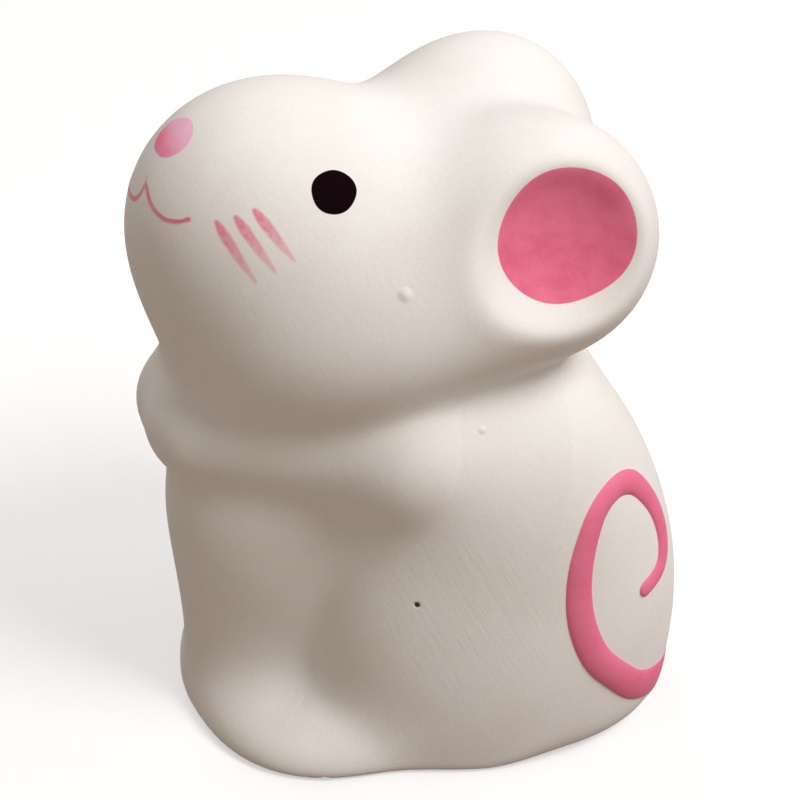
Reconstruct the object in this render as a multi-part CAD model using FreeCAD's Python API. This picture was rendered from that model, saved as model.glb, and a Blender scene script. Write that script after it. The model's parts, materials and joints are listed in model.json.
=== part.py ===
import FreeCAD, Part
import math
import os

Vector = FreeCAD.Vector

# A small clay mouse, moulded in two halves, closed by a slab and painted by hand.
# Lengths are in millimetres and angles in degrees. The mouse faces -Y and stands on z = 0.
# The halves mirror each other about x = 0, and the left half lies on the +X side.

# Head
head_y = -4.8
head_z = 47.0
head_half_width = 17.9
head_half_length = 20.8
head_half_height = 11.8
head_pitch_angle = 22.0
muzzle_y = -15.7
muzzle_z = 52.4
muzzle_half_width = 12.2
muzzle_half_length = 12.7
muzzle_half_height = 12.0

# Ears, with a shallow dish in the side of each
ear_x = 9.6
ear_y = 6.3
ear_z = 52.6
ear_half_span = 10.4
ear_half_thickness = 9.2
ear_half_height = 10.5
ear_yaw_angle = 81.0
ear_pitch_angle = 11.5
dish_yaw_angle = 91.0
dish_pitch_angle = 18.0
dish_floor = 4.3
dish_radius = 11.5

# Trunk
torso_y = -4.7
torso_z = 24.7
torso_half_width = 10.4
torso_half_length = 19.6
torso_half_height = 15.3
belly_y = -3.4
belly_z = 9.0
belly_half_width = 9.5
belly_half_length = 20.9
belly_half_height = 36.0
haunch_x = 9.2
haunch_y = 4.6
haunch_z = 11.3
haunch_half_width = 10.7
haunch_half_length = 17.1
haunch_half_height = 27.0
rump_y = 5.0
rump_z = 10.0
rump_half_width = 12.0
rump_half_length = 16.6
rump_half_height = 25.0

# Arms folded up under the chin, and the feet
shoulder_x = 8.0
shoulder_y = 1.5
shoulder_z = 30.4
shoulder_radius = 9.8
elbow_x = 11.9
elbow_y = -6.0
elbow_z = 33.6
elbow_radius = 5.1
hand_x = 2.6
hand_y = -22.7
hand_z = 33.0
hand_radius = 5.3
foot_x = 4.7
foot_y = -12.3
foot_z = 0.8
foot_half_width = 12.0
foot_half_length = 11.4
foot_half_height = 5.8

# Widths over which one lobe flows into the next
middle_softness = 2.0
face_blend = 10.0
ear_blend = 6.0
trunk_blend = 10.0
haunch_blend = 3.0
shoulder_blend = 9.0
arm_blend = 3.0
foot_blend = 5.0
neck_blend = 4.0
dish_blend = 1.6

# Clay wall, and the slab that closes the underside in a seat cut into the wall
clay_wall = 3.2
slab_thickness = 2.6
slab_inset = 2.4
slab_z = 0.0
skirt_depth = 6.0
skirt_blend = 3.0
lift_over_top = 10.0

# Tail, a tapered raised roll that lies on the left haunch
tail_root_half_width = 1.75
tail_tip_half_width = 1.0
tail_height = 1.1
tail_edge = 0.05
tail_axis_y = 0.0
tail_loop_angle = 129.5
tail_loop_half_angle = 14.5
tail_loop_z = 19.0
tail_loop_rise = 10.2

# Paint
paint_thickness = 0.2
paint_depth = 1.0
ear_paint_radius = 6.1
ear_paint_back = 0.5
ear_paint_rise = 1.0
eye_y = -12.6
eye_z = 59.7
eye_radius = 1.95
nose_y = -24.4
nose_z = 61.2
nose_half_width = 3.1
nose_half_height = 2.3
mouth_y = -27.4
mouth_z = 57.6
mouth_side = 1.1
mouth_half_width = 6.5
mouth_drop = 2.0
mouth_stroke = 0.75
whisker_width = 0.9
whisker_y = -19.7
whisker_z = 56.1
whisker_length = 5.7
whisker_step_y = 1.6
whisker_step_z = 0.8
whisker_slant_angle = -50.0
paint_margin = 0.8

# Counts, steps and shares that shape the surfaces
skin_count = 57
paint_count = 9
tail_count = 65
tail_across_count = 9
wrap_angle = 100.0
corner_share = 0.15
tail_end_share = 0.12
ear_pull_share = 0.5
ear_pull_spread_share = 0.28
spine_turn_share = 2.0
spine_middle_share = 0.55
stroke_shares = (-0.5, -0.25, 0.0, 0.25, 0.5)
whisker_thin_share = 2.4
whisker_taper_share = 0.06
mouth_shares = ((-1.0, -0.75), (-0.63, -0.98), (-0.35, -0.88), (-0.14, -0.65), (-0.03, -0.3), (0.03, -0.05),
                (0.17, 0.0), (0.35, -0.08), (0.54, -0.12), (0.69, -0.07), (0.89, 0.11), (1.0, 0.38))
mouth_taper_share = 0.35
probe_share = 0.002
root_share = 0.00001
guard_share = 0.02


# Directions and small vector helpers

def facing(yaw, pitch):
    """Unit direction, with yaw turned from -Y toward +X and pitch raised from level."""
    turn = math.radians(yaw)
    lift = math.radians(pitch)
    return Vector(math.sin(turn) * math.cos(lift), -math.cos(turn) * math.cos(lift), math.sin(lift))


def triad(out):
    """Unit directions across, out and up for something that faces out."""
    across = Vector(-out.y, out.x, 0).normalize()
    up = across.cross(out) * -1
    if up.z < 0:
        up = up * -1
    return across, out, up


class Lobe:
    """A stretched ball: its centre, three radii and the unit directions that they run along."""

    def __init__(self, centre, radii, axes):
        self.centre = centre
        self.radii = radii
        self.axes = axes
        self.arms = [(axis.x, axis.y, axis.z, radius) for axis, radius in zip(axes, radii)]

    def gap(self, x, y, z):
        """Signed distance from the lobe's surface, close to true near the surface."""
        dx = x - self.centre.x
        dy = y - self.centre.y
        dz = z - self.centre.z
        near = 0.0
        steep = 0.0
        for ax, ay, az, radius in self.arms:
            part = (dx * ax + dy * ay + dz * az) / radius
            near += part * part
            steep += part * part / (radius * radius)
        near = math.sqrt(near)
        return near * (near - 1) / math.sqrt(steep) if steep else -min(self.radii)

    def solid(self, inset):
        """The stretched ball itself, drawn in by an inset."""
        a, b, c = (axis * (radius - inset) for axis, radius in zip(self.axes, self.radii))
        place = FreeCAD.Matrix(a.x, b.x, c.x, self.centre.x, a.y, b.y, c.y, self.centre.y,
                               a.z, b.z, c.z, self.centre.z, 0, 0, 0, 1)
        return Part.makeSphere(1).transformGeometry(place)


class Limb:
    """A tapered round limb between two centres."""

    def __init__(self, start, end, start_radius, end_radius):
        self.start = start
        self.along = end - start
        self.length_squared = self.along.dot(self.along)
        self.radius = start_radius
        self.growth = end_radius - start_radius

    def gap(self, x, y, z):
        """Signed distance from the limb's surface."""
        dx = x - self.start.x
        dy = y - self.start.y
        dz = z - self.start.z
        run = self.along
        share = (dx * run.x + dy * run.y + dz * run.z) / self.length_squared
        share = min(max(share, 0.0), 1.0)
        dx -= run.x * share
        dy -= run.y * share
        dz -= run.z * share
        return math.sqrt(dx * dx + dy * dy + dz * dz) - self.radius - self.growth * share


def join(a, b, width):
    """Union of two signed distances, rounded over a width."""
    overlap = max(width - abs(a - b), 0.0)
    return min(a, b) - overlap * overlap / (4 * width)


def trim(a, b, width):
    """Intersection of two signed distances, rounded over a width."""
    return -join(-a, -b, width)


# The lobes of the figure

X, Y, Z = Vector(1, 0, 0), Vector(0, 1, 0), Vector(0, 0, 1)
upright = (X, Y, Z)


def lobe(x, y, z, half_width, half_length, half_height, axes=upright):
    return Lobe(Vector(x, y, z), (half_width, half_length, half_height), axes)


tilt = math.radians(head_pitch_angle)
head_axes = (X, Vector(0, math.cos(tilt), math.sin(tilt)), Vector(0, -math.sin(tilt), math.cos(tilt)))
head = lobe(0, head_y, head_z, head_half_width, head_half_length, head_half_height, head_axes)
muzzle = lobe(0, muzzle_y, muzzle_z, muzzle_half_width, muzzle_half_length, muzzle_half_height)
ear = lobe(ear_x, ear_y, ear_z, ear_half_span, ear_half_thickness, ear_half_height,
           triad(facing(ear_yaw_angle, ear_pitch_angle)))
torso = lobe(0, torso_y, torso_z, torso_half_width, torso_half_length, torso_half_height)
belly = lobe(0, belly_y, belly_z, belly_half_width, belly_half_length, belly_half_height)
rump = lobe(0, rump_y, rump_z, rump_half_width, rump_half_length, rump_half_height)
haunch = lobe(haunch_x, haunch_y, haunch_z, haunch_half_width, haunch_half_length, haunch_half_height)
foot = lobe(foot_x, foot_y, foot_z, foot_half_width, foot_half_length, foot_half_height)
shoulder = Vector(shoulder_x, shoulder_y, shoulder_z)
elbow = Vector(elbow_x, elbow_y, elbow_z)
hand = Vector(hand_x, hand_y, hand_z)
upper_arm = Limb(shoulder, elbow, shoulder_radius, elbow_radius)
fore_arm = Limb(elbow, hand, elbow_radius, hand_radius)
dish_out = facing(dish_yaw_angle, dish_pitch_angle)
dish_centre = ear.centre + dish_out * (dish_floor + dish_radius)


def figure_gap(x, y, z):
    """Signed distance from the whole figure. Paired lobes use a softly mirrored x."""
    side = math.hypot(x, middle_softness)
    skull = join(head.gap(x, y, z), muzzle.gap(x, y, z), face_blend)
    skull = join(skull, ear.gap(side, y, z), ear_blend)
    trunk = join(torso.gap(x, y, z), belly.gap(x, y, z), trunk_blend)
    trunk = join(trunk, rump.gap(x, y, z), haunch_blend)
    trunk = join(trunk, haunch.gap(side, y, z), haunch_blend)
    trunk = join(trunk, upper_arm.gap(side, y, z), shoulder_blend)
    trunk = join(trunk, fore_arm.gap(side, y, z), arm_blend)
    trunk = join(trunk, foot.gap(side, y, z), foot_blend)
    whole = join(skull, trunk, neck_blend)
    to_dish = math.dist((side, y, z), (dish_centre.x, dish_centre.y, dish_centre.z))
    return trim(whole, dish_radius - to_dish, dish_blend)


def skirted(gap, inset):
    """The same form drawn in by an inset and run straight down below the ground."""
    def lowered(x, y, z):
        wall = gap(x, y, max(z, 0.0)) + inset
        return trim(wall, -z - skirt_depth + inset, skirt_blend)
    return lowered


# Finding the surface along a ray

def reach(gap, start, ray, guess, step):
    """Length along a ray to where the signed distance is zero, widened from a guess and closed in."""
    def value(length):
        return gap(start.x + ray.x * length, start.y + ray.y * length, start.z + ray.z * length)

    low = max(guess - step, 0.0)
    high = guess + step
    at_low = value(low)
    at_high = value(high)
    while at_low > 0 and low > 0:
        high, at_high = low, at_low
        low = max(low - 2 * step, 0.0)
        at_low = value(low)
    while at_high < 0:
        low, at_low = high, at_high
        high += 2 * step
        at_high = value(high)
    while high - low > root_share * ear_z:
        middle = (low * at_high - high * at_low) / (at_high - at_low)
        margin = guard_share * (high - low)
        middle = min(max(middle, low + margin), high - margin)
        at_middle = value(middle)
        if abs(at_middle) < root_share * ear_z:
            return middle
        if at_middle > 0:
            high, at_high = middle, at_middle
            at_low /= 2
        else:
            low, at_low = middle, at_middle
            at_high /= 2
    return (low + high) / 2


def outward(gap, point):
    """Unit outward direction of the surface at a point."""
    e = probe_share * ear_z
    x, y, z = point
    slope = Vector(gap(x + e, y, z) - gap(x - e, y, z),
                   gap(x, y + e, z) - gap(x, y - e, z),
                   gap(x, y, z + e) - gap(x, y, z - e))
    return slope.normalize()


def wrap_ray(s, t):
    """Ray for a place on the half skin: s runs from front to back and t from bottom to top."""
    turn = math.radians(wrap_angle) / (1 + corner_share * s * s * t * t)
    bend = turn * math.hypot(s, t)
    spread = turn * math.sin(bend) / bend if bend else turn
    return Vector(math.cos(bend), spread * s, spread * t)


def ray_start(ray):
    """A start inside the figure that climbs from the belly to the head and leans toward the ear."""
    climb = math.tanh(spine_turn_share * ray.z)
    middle_z = torso_z + spine_middle_share * (head_z - torso_z)
    middle_y = torso_y / 2
    z = middle_z + climb * (head_z - belly_z) / 2 + climb * climb * ((head_z + belly_z) / 2 - middle_z)
    y = middle_y + climb * head_y / 2 + climb * climb * (head_y / 2 - middle_y)
    start = Vector(0, y, z)
    toward_ear = (ear.centre - Vector(0, head_y, head_z)).normalize()
    pull = ear_pull_share * math.exp((toward_ear.dot(ray) - 1) / ear_pull_spread_share)
    return start + (ear.centre - start) * pull


def half_skin(gap):
    """Spline surfaces of one half of a form and of a kernel inside it, on rays that fan out."""
    rows, kernel = [], []
    last = [torso_half_width] * skin_count
    for i in range(skin_count):
        row, kernel_row = [], []
        for j in range(skin_count):
            ray = wrap_ray(2 * i / (skin_count - 1) - 1, 2 * j / (skin_count - 1) - 1)
            start = ray_start(ray)
            last[j] = reach(gap, start, ray, last[j], clay_wall / 2)
            row.append(start + ray * last[j])
            kernel_row.append(start + ray * clay_wall)
        rows.append(row)
        kernel.append(kernel_row)
    return spline(rows), spline(kernel)


def spline(rows):
    surface = Part.BSplineSurface()
    surface.interpolate(rows)
    return surface


def between(outer, inner):
    """Solid between two spline surfaces that share their layout, closed by four ruled sides."""
    faces = [outer.toShape(), inner.toShape()]
    for edge in range(4):
        faces.append(Part.makeRuledSurface(rim(outer, edge), rim(inner, edge)))
    shell = Part.makeShell(faces)
    shell.sewShape()
    solid = Part.makeSolid(shell)
    if solid.Volume < 0:
        solid.reverse()
    return solid


def rim(surface, edge):
    """One of the four edge curves of a spline surface."""
    u_start, u_end, v_start, v_end = surface.bounds()
    curve = (surface.uIso(u_start), surface.uIso(u_end), surface.vIso(v_start), surface.vIso(v_end))[edge]
    return curve.toShape()


def left_space():
    """The space on the left of the middle plane and above the ground."""
    width = ear_x + ear_half_span + haunch_half_width + lift_over_top
    length = belly_half_length + head_half_length + haunch_half_length + lift_over_top
    height = ear_z + ear_half_height + lift_over_top
    return Part.makeBox(width, 2 * length, height, Vector(0, -length, 0))


# Clay pieces

def slab():
    """Closing slab: the figure's own ground outline, drawn in, so that it seats in the wall."""
    gap = skirted(figure_gap, slab_inset)
    start = Vector(0, belly_y, slab_z)
    points = []
    for i in range(skin_count):
        angle = 2 * math.pi * i / skin_count
        ray = Vector(math.sin(angle), -math.cos(angle), 0)
        points.append(start + ray * reach(gap, start, ray, belly_half_length, clay_wall))
    outline = Part.BSplineCurve()
    outline.interpolate(Points=points, PeriodicFlag=True)
    return Part.Face(Part.Wire(outline.toShape())).extrude(Vector(0, 0, slab_thickness))


def half_block():
    """Left half of the figure before it is hollowed out."""
    outer, kernel = half_skin(skirted(figure_gap, 0.0))
    return between(outer, kernel).common(left_space())


def half_shell(block, seat):
    """Left half of the moulded body, hollow inside, with the slab's seat cut in its foot."""
    shell = block
    for hollow in (head, torso, belly, rump, haunch):
        shell = shell.cut(hollow.solid(clay_wall))
    return shell.cut(seat)


def seated(piece, blocks):
    """The part of a piece that stands clear of the clay, so that it lies on it face to face."""
    for block in blocks:
        piece = piece.cut(block)
    return piece


def on_skin(y, z):
    """Point on the left side of the figure at a place seen square from the side."""
    start = Vector(0, y, z)
    return start + X * reach(figure_gap, start, X, haunch_half_width, clay_wall)


def round_point(turn, z):
    """Point on the trunk's wall at a turn from the front and a height."""
    start = Vector(0, tail_axis_y, z)
    ray = facing(turn, 0)
    return start + ray * reach(figure_gap, start, ray, haunch_half_length, clay_wall)


def tail_route():
    """Points from the rump's middle forward round the haunch, up, over and back into the curl."""
    shares = ((3.10, -1.55), (2.25, -1.53), (1.40, -1.42), (0.68, -1.25), (-0.13, -1.02),
              (-0.69, -0.65), (-1.00, -0.15), (-1.00, 0.39), (-0.69, 0.84), (-0.17, 1.01),
              (0.38, 0.94), (0.83, 0.61), (0.97, 0.25), (0.79, -0.04), (0.34, -0.18))
    return [round_point(tail_loop_angle + tail_loop_half_angle * back, tail_loop_z + tail_loop_rise * up)
            for back, up in shares]


def tail_row(middle, run, half_width, fullness):
    """Points across the roll and across its bed on the clay, for one place along the route."""
    out = outward(figure_gap, middle)
    side = out.cross(run).normalize() * (half_width * max(fullness, tail_end_share))
    crest, bed = [], []
    for j in range(tail_across_count):
        turn = math.pi / 2 * (2 * j / (tail_across_count - 1) - 1)
        start = middle + side * math.sin(turn) - out * clay_wall
        point = start + out * reach(figure_gap, start, out, clay_wall, clay_wall / 4)
        lift = tail_edge + (tail_height - tail_edge) * fullness * math.cos(turn)
        crest.append(point + out * lift)
        bed.append(point)
    return crest, bed


def tail():
    """Tapered round roll along its route, rounded off at both ends, with its bed on the haunch."""
    path = Part.BSplineCurve()
    path.interpolate(tail_route())
    first, last = path.FirstParameter, path.LastParameter
    length = path.length()
    crests, beds = [], []
    for i in range(tail_count):
        share = (1 - math.cos(math.pi * i / (tail_count - 1))) / 2
        where = first + share * (last - first)
        half_width = tail_root_half_width + (tail_tip_half_width - tail_root_half_width) * share
        short = max(1 - min(share, 1 - share) * length / half_width, 0.0)
        run = Vector(*path.tangent(where)[0])
        crest, bed = tail_row(path.value(where), run, half_width, math.sqrt(1 - short * short))
        crests.append(crest)
        beds.append(bed)
    return between(spline(crests), spline(beds))


# Paint films, each a thin patch over the clay cut to the brush mark's outline

class Spot:
    """A place on the figure with its own across, out and up directions."""

    def __init__(self, point, out):
        self.point = point
        self.across, self.out, self.up = triad(out)

    def at(self, across, up, out=0.0):
        return self.point + self.across * across + self.up * up + self.out * out


def spot(y, z):
    point = on_skin(y, z)
    return Spot(point, outward(figure_gap, point))


def front_spot(y, z):
    """Place on the middle line of the face."""
    ray = Vector(0, y - head_y, z - head_z)
    start = Vector(0, head_y, head_z)
    ray = ray.normalize()
    point = start + ray * reach(figure_gap, start, ray, muzzle_half_length, clay_wall)
    return Spot(point, outward(figure_gap, point))


def film(place, outline, half_across, half_up, blocks):
    """Paint with its outline drawn in the place's own plane, resting on the clay."""
    top, bottom = [], []
    count = paint_count
    for i in range(count):
        top_row, bottom_row = [], []
        for j in range(count):
            across = (half_across + paint_margin) * (2 * i / (count - 1) - 1)
            up = (half_up + paint_margin) * (2 * j / (count - 1) - 1)
            start = place.at(across, up, -clay_wall)
            point = start + place.out * reach(figure_gap, start, place.out, clay_wall, clay_wall / 4)
            normal = outward(figure_gap, point)
            top_row.append(point + normal * paint_thickness)
            bottom_row.append(point - normal * paint_depth)
        top.append(top_row)
        bottom.append(bottom_row)
    coat = between(spline(top), spline(bottom))
    stamp = Part.Face(outline).extrude(place.out * (4 * clay_wall))
    return seated(coat.common(stamp), blocks)


def disc(place, radius):
    """Closed round outline behind a place."""
    circle = Part.Circle(place.at(0, 0, -2 * clay_wall), place.out, radius)
    return Part.Wire(circle.toShape())


def oval(place, half_across, half_up):
    """Closed oval outline behind a place, wider than it is high."""
    middle = place.at(0, 0, -2 * clay_wall)
    curve = Part.Ellipse(middle + place.across * half_across, middle + place.up * half_up, middle)
    return Part.Wire(curve.toShape())


def stroke(place, route, widths):
    """Closed outline of a brush stroke along a route of (across, up) pairs, given its widths."""
    left, right = [], []
    for i, (across, up) in enumerate(route):
        before = route[max(i - 1, 0)]
        after = route[min(i + 1, len(route) - 1)]
        run, rise = after[0] - before[0], after[1] - before[1]
        size = math.hypot(run, rise)
        side, lift = -rise / size * widths[i] / 2, run / size * widths[i] / 2
        left.append(place.at(across + side, up + lift, -2 * clay_wall))
        right.append(place.at(across - side, up - lift, -2 * clay_wall))
    curves = []
    for points in (left, right):
        curve = Part.BSplineCurve()
        curve.interpolate(points)
        curves.append(curve.toShape())
    caps = [Part.makeLine(left[0], right[0]), Part.makeLine(left[-1], right[-1])]
    return Part.Wire(Part.sortEdges(curves + caps)[0])


def ear_paint(blocks):
    """Round coat in the hollow of the ear."""
    place = Spot(dish_centre - dish_out * dish_radius, dish_out)
    place.point = place.at(ear_paint_back, ear_paint_rise)
    return film(place, disc(place, ear_paint_radius), ear_paint_radius, ear_paint_radius, blocks)


def eye(blocks):
    place = spot(eye_y, eye_z)
    return film(place, disc(place, eye_radius), eye_radius, eye_radius, blocks)


def nose(blocks):
    place = front_spot(nose_y, nose_z)
    outline = oval(place, nose_half_width, nose_half_height)
    return film(place, outline, nose_half_width, nose_half_height, blocks)


def mouth(blocks):
    """Two brushed curves that meet under the nose a little to the left, the right one hung lower."""
    place = front_spot(mouth_y, mouth_z)
    route = [(mouth_side + mouth_half_width * across, mouth_drop * up) for across, up in mouth_shares]
    widths = [mouth_stroke * (1 - mouth_taper_share * across * across) for across, up in mouth_shares]
    return film(place, stroke(place, route, widths), mouth_half_width + mouth_side, mouth_drop, blocks)


def whisker(number, blocks):
    """One straight brush stroke on the cheek, thin at both ends, counted from the nose backward."""
    step = number - 2
    place = spot(whisker_y + step * whisker_step_y, whisker_z + step * whisker_step_z)
    slant = math.radians(whisker_slant_angle)
    length = whisker_length * (1 - whisker_taper_share * step)
    route = [(length * share * math.cos(slant), length * share * math.sin(slant)) for share in stroke_shares]
    widths = [whisker_width * (1 - whisker_thin_share * share * share) for share in stroke_shares]
    return film(place, stroke(place, route, widths), length / 2, length / 2, blocks)


def mirrored(shape):
    return shape.mirror(Vector(0, 0, 0), X)


def build():
    seat = slab()
    block = half_block()
    left = half_shell(block, seat)
    right = mirrored(left)
    both = [block, mirrored(block)]
    pieces = {"body_left_half": left, "body_right_half": right, "base_plate": seat}
    pieces["tail"] = tail()
    pieces["nose"] = nose(both)
    pieces["mouth"] = mouth(both)
    pairs = {"ear_lining_%s": ear_paint([block]), "eye_%s": eye([block])}
    for number in (1, 2, 3):
        pairs["whisker_%s_" + str(number)] = whisker(number, [block])
    for name, piece in pairs.items():
        pieces[name % "left"] = piece
        pieces[name % "right"] = mirrored(piece)
    return pieces


os.makedirs("parts", exist_ok=True)
for name, shape in build().items():
    shape.exportStep("parts/" + name + ".step")
    print(name, len(shape.Solids), shape.isValid(), round(shape.Volume, 2))
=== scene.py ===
import json
import math

import bpy
import numpy as np
from mathutils import Matrix, Vector

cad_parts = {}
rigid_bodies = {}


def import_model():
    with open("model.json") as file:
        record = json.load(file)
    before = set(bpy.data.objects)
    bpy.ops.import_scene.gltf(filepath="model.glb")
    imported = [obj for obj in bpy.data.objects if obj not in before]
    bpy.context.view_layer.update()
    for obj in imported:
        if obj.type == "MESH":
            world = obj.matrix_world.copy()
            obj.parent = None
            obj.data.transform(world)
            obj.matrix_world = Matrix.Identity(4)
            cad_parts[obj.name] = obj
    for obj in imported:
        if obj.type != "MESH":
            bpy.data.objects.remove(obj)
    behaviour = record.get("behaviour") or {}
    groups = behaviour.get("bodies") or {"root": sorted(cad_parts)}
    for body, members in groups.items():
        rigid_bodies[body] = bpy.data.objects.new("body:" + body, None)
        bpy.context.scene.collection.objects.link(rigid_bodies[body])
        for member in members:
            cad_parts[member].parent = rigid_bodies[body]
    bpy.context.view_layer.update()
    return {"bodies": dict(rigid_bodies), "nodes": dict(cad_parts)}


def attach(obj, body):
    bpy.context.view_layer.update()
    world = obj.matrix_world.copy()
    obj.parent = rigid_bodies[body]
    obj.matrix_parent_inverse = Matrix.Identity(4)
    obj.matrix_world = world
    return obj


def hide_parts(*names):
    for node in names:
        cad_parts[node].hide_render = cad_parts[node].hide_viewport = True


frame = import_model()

bl_info = {
    "name": "Painted Clay Mouse",
    "version": (1, 0, 0),
    "blender": (4, 5, 0),
    "location": "View3D > Sidebar > Clay Mouse",
    "description": "A moulded clay mouse with a matt white coat and hand-painted face, ears and tail",
    "category": "Object",
}

MM = 0.001
MIRROR = np.array([-1, 1, 1])
SLOPE_STEP = 0.05 * MM         # Step of the central differences
HALVINGS = 14                  # Times that a ray's bracket is halved
SETTLINGS = 4                  # Times that a point is moved onto the figure
BLEND_REACH = 1.4              # Reach of a blend in its own widths
BODY_GRID = 170                # Cells along an edge of the cube of rays
FAR = 40 * MM                  # Longer than any level way from the middle line to the surface
FIGURE_REACH = 60 * MM         # Longer than any ray of the moulded halves
BODY = next(iter(frame["bodies"]))


# Sizes and colours

class MouseForm(bpy.types.PropertyGroup):
    """Sizes of the moulded form and of what is painted on it."""
    middle_softness: bpy.props.FloatProperty(
        name="Middle softness", description="How far from the middle plane paired forms flow together",
        default=2.0 * MM, unit="LENGTH")
    grain_height: bpy.props.FloatProperty(
        name="Grain height", description="Height of the fine grain in the white coat",
        default=0.05 * MM, unit="LENGTH")
    paint_lift: bpy.props.FloatProperty(
        name="Paint lift", description="How far a paint film stands off the coat",
        default=0.03 * MM, unit="LENGTH")
    tail_rise: bpy.props.FloatProperty(
        name="Tail rise", description="How far the tail stands proud of the haunch",
        default=0.7 * MM, unit="LENGTH")


class MousePaint(bpy.types.PropertyGroup):
    """Colours of the coat and the paints."""
    coat: bpy.props.FloatVectorProperty(
        name="White coat", description="Matt white ground coat", subtype="COLOR", size=3,
        default=(0.82, 0.81, 0.79), min=0, max=1)
    # Painted shade: this warmer tint also darkens the low points of the coat's fine grain, besides its random
    # warm mottle.
    coat_mottle_and_shade: bpy.props.FloatVectorProperty(
        name="Coat shade", description="Warmer tint where the coat lies thin", subtype="COLOR", size=3,
        default=(0.76, 0.71, 0.66), min=0, max=1)
    pink: bpy.props.FloatVectorProperty(
        name="Pink", description="Paint of the ears and the tail", subtype="COLOR", size=3,
        default=(0.82, 0.20, 0.32), min=0, max=1)
    nose_pink: bpy.props.FloatVectorProperty(
        name="Nose pink", description="Lighter paint of the nose", subtype="COLOR", size=3,
        default=(0.92, 0.52, 0.72), min=0, max=1)
    line_pink: bpy.props.FloatVectorProperty(
        name="Line pink", description="Thin paint of the mouth and the whiskers", subtype="COLOR", size=3,
        default=(0.80, 0.13, 0.25), min=0, max=1)
    eye: bpy.props.FloatVectorProperty(
        name="Eye", description="Near-black paint of the eyes", subtype="COLOR", size=3,
        default=(0.006, 0.001, 0.003), min=0, max=1)


# The form as a signed distance

def unit(v):
    """The direction of a vector."""
    return np.asarray(v, float) / np.linalg.norm(v)


def facing(yaw, pitch):
    """Unit direction, with yaw turned from -Y toward +X and pitch raised from level."""
    turn, lift = math.radians(yaw), math.radians(pitch)
    return np.array([math.sin(turn) * math.cos(lift), -math.cos(turn) * math.cos(lift), math.sin(lift)])


def triad(out):
    """Unit directions across, out and up for something that faces out, as rows."""
    across = unit([-out[1], out[0], 0.0])
    up = np.cross(out, across)
    return np.array([across, out, up if up[2] > 0 else -up])


class Lobe:
    """A stretched ball. Its value is k0 (k0 - 1) / k1, where k0 is the point's distance from the centre in
    radii and k1 the same distance in radii squared, which is close to the true distance near the surface."""

    def __init__(self, centre, radii, axes=np.eye(3)):
        self.centre = np.array(centre) * MM
        self.radii = np.array(radii) * MM
        self.axes = np.array(axes)

    def gap(self, p):
        q = (p - self.centre) @ self.axes.T
        near = np.linalg.norm(q / self.radii, axis=-1)
        steep = np.linalg.norm(q / self.radii ** 2, axis=-1)
        return near * (near - 1) / np.maximum(steep, 1e-9)


def limb_gap(p, start, end, start_radius, end_radius):
    """Distance from the line between two centres, less a radius that tapers along it."""
    start, end = np.array(start) * MM, np.array(end) * MM
    run = end - start
    share = np.clip((p - start) @ run / (run @ run), 0, 1)
    near = np.linalg.norm(p - start - share[..., None] * run, axis=-1)
    return near - (start_radius + (end_radius - start_radius) * share) * MM


def join(a, b, width):
    """Smaller of two distances, less a sixth of the blend's reach times the cube of the share by which they
    overlap. The reach is 1.4 widths, so the fillet is nearly as deep as a quarter of the width."""
    reach = BLEND_REACH * width * MM
    share = np.maximum(1 - np.abs(a - b) / reach, 0)
    return np.minimum(a, b) - reach * share ** 3 / 6


def trim(a, b, width):
    """Larger of two distances, rounded in the same way."""
    return -join(-a, -b, width)


# Lobes of the figure, in millimetres: centre, then half width, half length and half height

HEAD_TILT = math.radians(22.0)
HEAD = Lobe((0, -4.8, 47.0), (17.9, 20.8, 11.8),
            ((1, 0, 0), (0, math.cos(HEAD_TILT), math.sin(HEAD_TILT)),
             (0, -math.sin(HEAD_TILT), math.cos(HEAD_TILT))))
MUZZLE = Lobe((0, -15.7, 52.4), (12.2, 12.7, 12.0))
EAR = Lobe((9.6, 6.3, 52.6), (10.4, 9.2, 10.5), triad(facing(81.0, 11.5)))
TORSO = Lobe((0, -4.7, 24.7), (10.4, 19.6, 15.3))
BELLY = Lobe((0, -3.4, 9.0), (9.5, 20.9, 36.0))
RUMP = Lobe((0, 5.0, 10.0), (12.0, 16.6, 25.0))
HAUNCH = Lobe((9.2, 4.1, 11.3), (10.7, 17.6, 27.0))
FOOT = Lobe((4.7, -12.3, 0.8), (12.0, 11.4, 5.8))
SHOULDER, ELBOW, HAND = (8.0, 1.5, 30.4), (11.9, -6.0, 33.6), (2.6, -22.7, 33.0)
SHOULDER_RADIUS, ELBOW_RADIUS, HAND_RADIUS = 9.8, 5.1, 5.3
DISH_OUT = facing(91.0, 18.0)
DISH_FLOOR, DISH_RADIUS = 4.3, 11.5
DISH_CENTRE = EAR.centre + DISH_OUT * (DISH_FLOOR + DISH_RADIUS) * MM
SLAB_TOP, SLAB_INSET = 2.6, 2.4

# Widths of the blends between them, and the runs in y over which two of them change, in millimetres

SKULL_BLEND, EAR_BLEND, TRUNK_BLEND, RUMP_BLEND, SHOULDER_BLEND = 10.0, 6.0, 10.0, 3.0, 9.0
ARM_BLEND, FOOT_BLEND, NECK_BLEND, DISH_BLEND = 3.0, 5.0, 4.0, 1.6
HAUNCH_BLEND, HAUNCH_REAR_GROWTH, HAUNCH_RUN = 1.8, 3.7, 8
BASE_ROUND, REAR_ROUND, ROUND_RUN = 1.2, 3.6, 9


def sided(p, softness):
    """The point moved to the left side, with x softened to the root of x squared plus softness squared."""
    side = p.copy()
    side[..., 0] = np.sqrt(p[..., 0] ** 2 + softness ** 2)
    return side


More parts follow.
